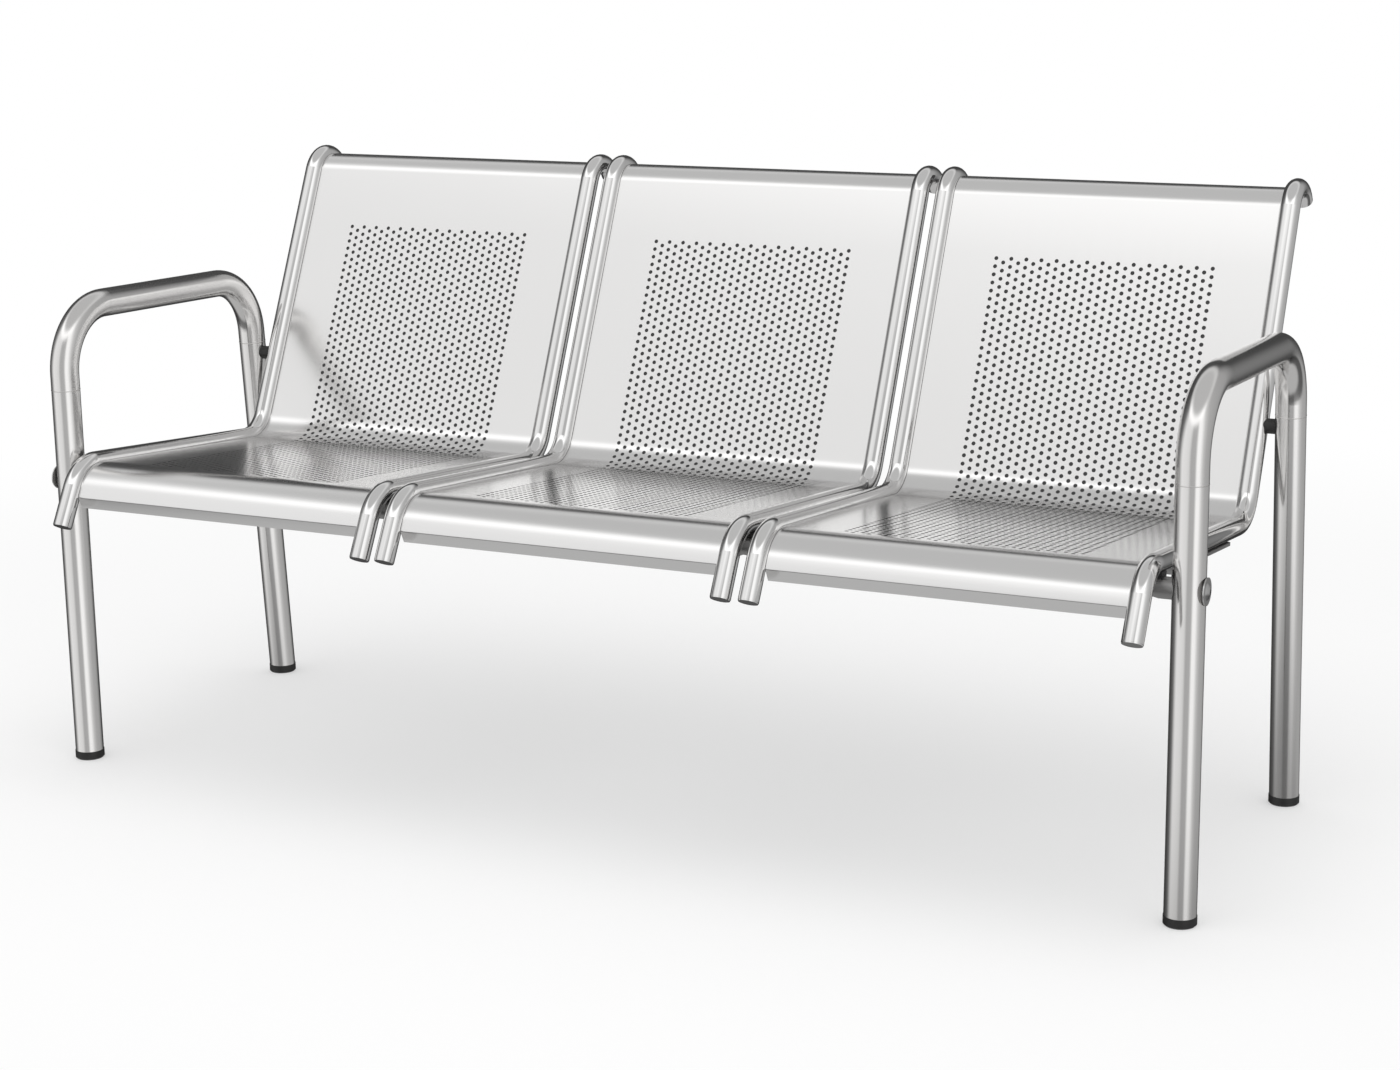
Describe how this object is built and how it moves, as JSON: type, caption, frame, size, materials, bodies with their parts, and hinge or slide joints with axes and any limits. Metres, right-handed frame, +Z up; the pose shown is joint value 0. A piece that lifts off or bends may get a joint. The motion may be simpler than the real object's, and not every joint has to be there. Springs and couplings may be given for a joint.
{
  "type": "beam seating",
  "caption": "Waiting-room beam bench with formed perforated steel seats held between bent side tubes, on two tubular end frames with armrests.",
  "frame": {"origin": "on the floor, at the middle of the outer box in plan", "axes": "+X along the bench to its right-hand end for someone facing its front, +Y to the rear, +Z up"},
  "size_m": [1.5932, 0.7132, 0.7883],
  "materials": {
    "polished_tube": "bright polished stainless steel",
    "satin_sheet": "satin stainless steel sheet, perforated",
    "satin_tube": "fine satin polished stainless steel",
    "mill_steel": "plain stainless steel, unpolished",
    "fastener_steel": "plain stainless steel fasteners",
    "black_plastic": "moulded black plastic"
  },
  "bodies": {
    "root": {"back_tube_inserts": "fastener_steel", "front_cross_tube": "mill_steel", "front_cross_tube_plugs": "fastener_steel", "front_saddles": "black_plastic", "front_seat_bolts": "fastener_steel", "front_tube_end_discs": "polished_tube", "left_arm_hoop": "satin_tube", "left_end_seat_plate": "mill_steel", "left_front_foot": "black_plastic", "left_front_leg": "satin_tube", "left_pair_seat_plate": "mill_steel", "left_rear_foot": "black_plastic", "left_rear_leg": "satin_tube", "left_seat_left_tube": "polished_tube", "left_seat_right_tube": "polished_tube", "left_seat_sheet": "satin_sheet", "leg_bolts": "fastener_steel", "leg_washers": "fastener_steel", "middle_seat_left_tube": "polished_tube", "middle_seat_right_tube": "polished_tube", "middle_seat_sheet": "satin_sheet", "rear_cross_tube": "mill_steel", "rear_cross_tube_caps": "black_plastic", "rear_leg_inserts": "fastener_steel", "rear_leg_spacers": "black_plastic", "rear_leg_studs": "fastener_steel", "rear_seat_bolts": "fastener_steel", "rear_seat_nuts": "fastener_steel", "rear_tube_end_discs": "polished_tube", "right_arm_hoop": "satin_tube", "right_end_seat_plate": "mill_steel", "right_front_foot": "black_plastic", "right_front_leg": "satin_tube", "right_pair_seat_plate": "mill_steel", "right_rear_foot": "black_plastic", "right_rear_leg": "satin_tube", "right_seat_left_tube": "polished_tube", "right_seat_right_tube": "polished_tube", "right_seat_sheet": "satin_sheet", "side_tube_inserts": "fastener_steel"}
  },
  "joints": []
}
